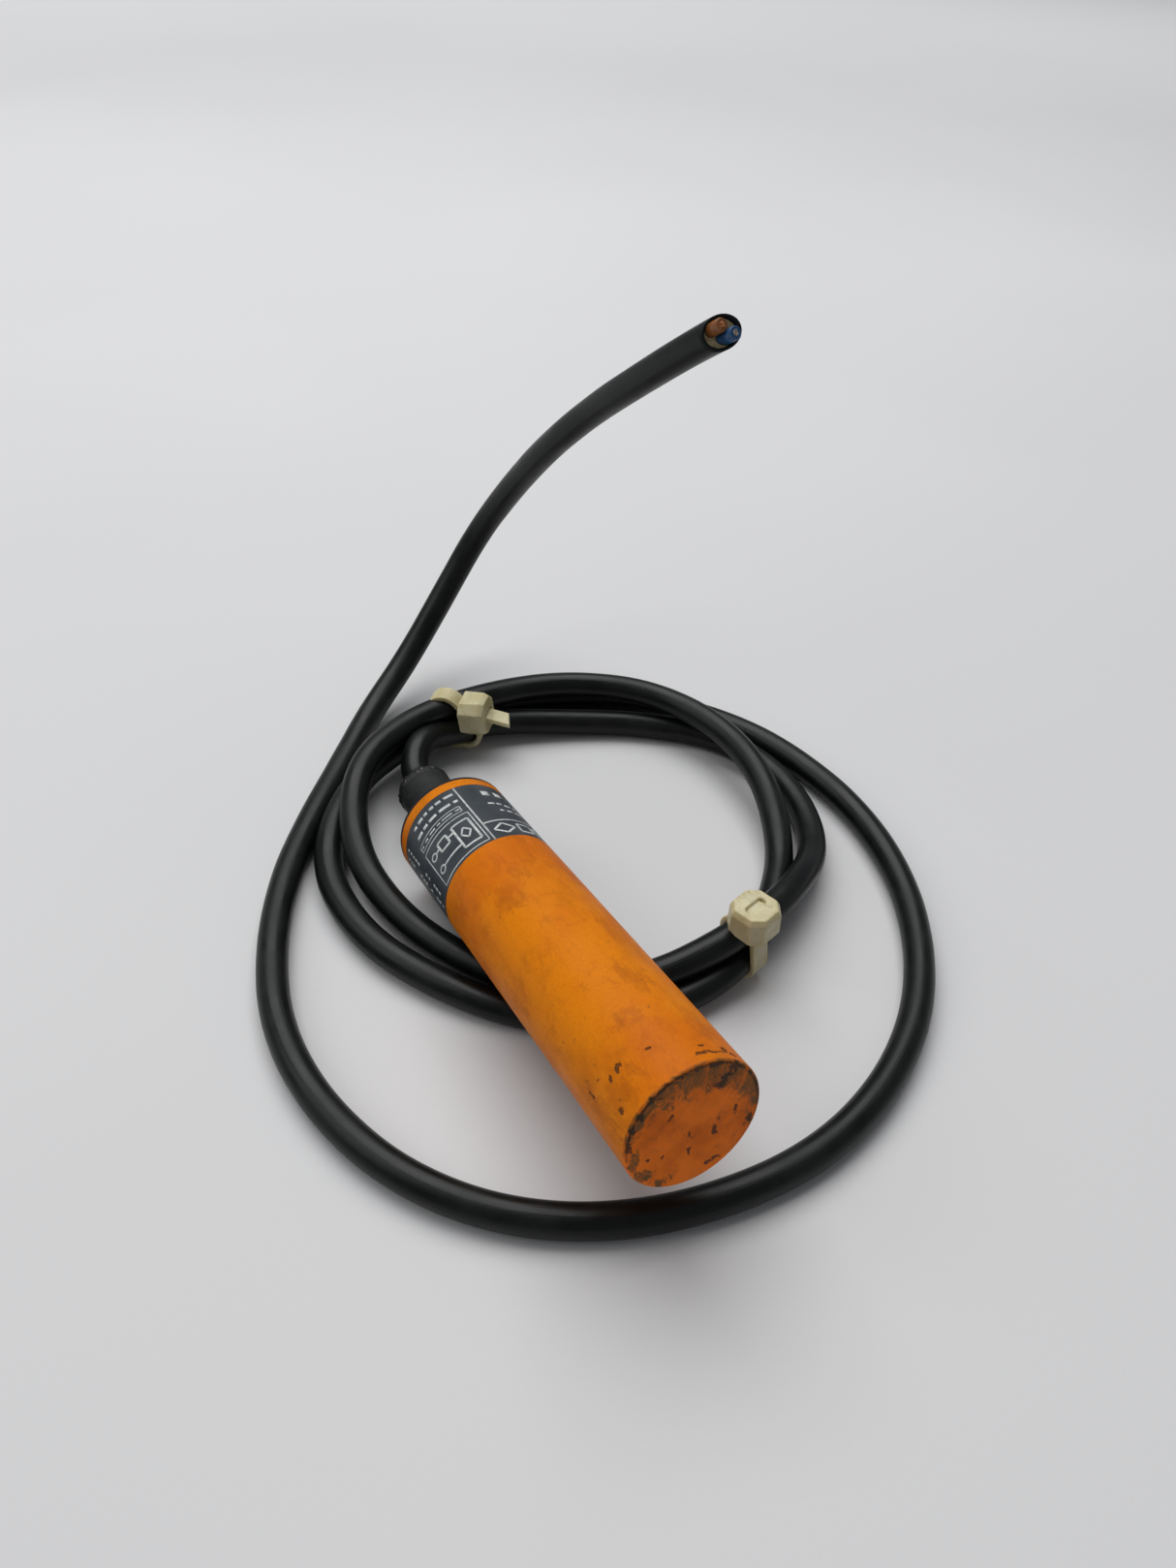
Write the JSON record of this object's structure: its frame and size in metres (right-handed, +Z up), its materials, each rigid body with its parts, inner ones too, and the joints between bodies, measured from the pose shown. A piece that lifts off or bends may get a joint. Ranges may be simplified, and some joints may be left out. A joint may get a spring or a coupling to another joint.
{
  "type": "proximity sensor",
  "caption": "Cylindrical proximity sensor with a smooth orange plastic barrel, dark label band, black rear cap and a tied, coiled two-core cable with a cut end.",
  "frame": {"origin": "under the middle of the sensor (barrel with its strain relief), on the surface it rests on", "axes": "+Z up; +Y towards the cable end, with the barrel tilted 10.2 degrees down that way; the sensing face looks along -Y and slightly up"},
  "size_m": [0.1166, 0.1416, 0.0906],
  "materials": {
    "barrel_plastic": "satin orange PBT, brown smudges and fine scratches",
    "label_foil": "dark navy-charcoal label film with thin pale marks",
    "cap_plastic": "black moulded plastic",
    "boot_rubber": "black rubber, slightly matt",
    "cable_jacket": "satin black PVC",
    "tie_nylon": "aged ivory nylon, slightly translucent",
    "core_brown": "brown PVC core insulation",
    "core_blue": "blue PVC core insulation",
    "copper": "bare copper",
    "cable_filler": "cream filler",
    "seal_rubber": "nitrile rubber",
    "ferrite": "sintered ferrite, dark grey",
    "bobbin_plastic": "natural nylon",
    "carrier_plastic": "black glass-filled plastic",
    "winding_wire": "enamelled copper wire",
    "screen_foil": "thin brass foil",
    "board_laminate": "green solder mask on glass laminate",
    "component_black": "black moulding compound",
    "component_tan": "tan ceramic",
    "capacitor_film": "red dipped film capacitor",
    "capacitor_can": "aluminium can",
    "suppressor_blue": "blue coated disc",
    "trimmer_blue": "blue trimmer body",
    "diode_glass": "orange glass bodies",
    "tin": "tinned metal and solder",
    "clamp_metal": "crimped steel ring",
    "resin": "amber-brown potting resin"
  },
  "bodies": {
    "root": {"housing_sleeve": "barrel_plastic", "label_band": "label_foil", "rear_cap": "cap_plastic", "cap_seal": "seal_rubber", "cable_boot": "boot_rubber", "cable_clamp": "clamp_metal", "cable_tail": "cable_jacket", "brown_conductor": "core_brown", "blue_conductor": "core_blue", "ferrite_core": "ferrite", "coil_bobbin": "bobbin_plastic", "coil_winding": "winding_wire", "coil_leads": "winding_wire", "core_carrier": "carrier_plastic", "shield_sleeve": "screen_foil", "circuit_board": "board_laminate", "oscillator_chip": "component_black", "chip_leads": "tin", "trimmer": "trimmer_blue", "film_capacitor": "capacitor_film", "electrolytic_capacitor": "capacitor_can", "ceramic_capacitors": "component_tan", "chip_resistors": "component_black", "bridge_rectifier": "component_black", "output_thyristor": "component_black", "surge_suppressor": "suppressor_blue", "zener_diodes": "diode_glass", "solder_joints": "tin", "potting_resin": "resin", "cable_lead": "cable_jacket", "cable_coil": "cable_jacket", "cable_free": "cable_jacket", "end_jacket": "cable_jacket", "end_filler": "cable_filler", "brown_core": "core_brown", "blue_core": "core_blue", "brown_strands": "copper", "blue_strands": "copper", "tie_rear": "tie_nylon", "tie_side": "tie_nylon"}
  },
  "joints": []
}
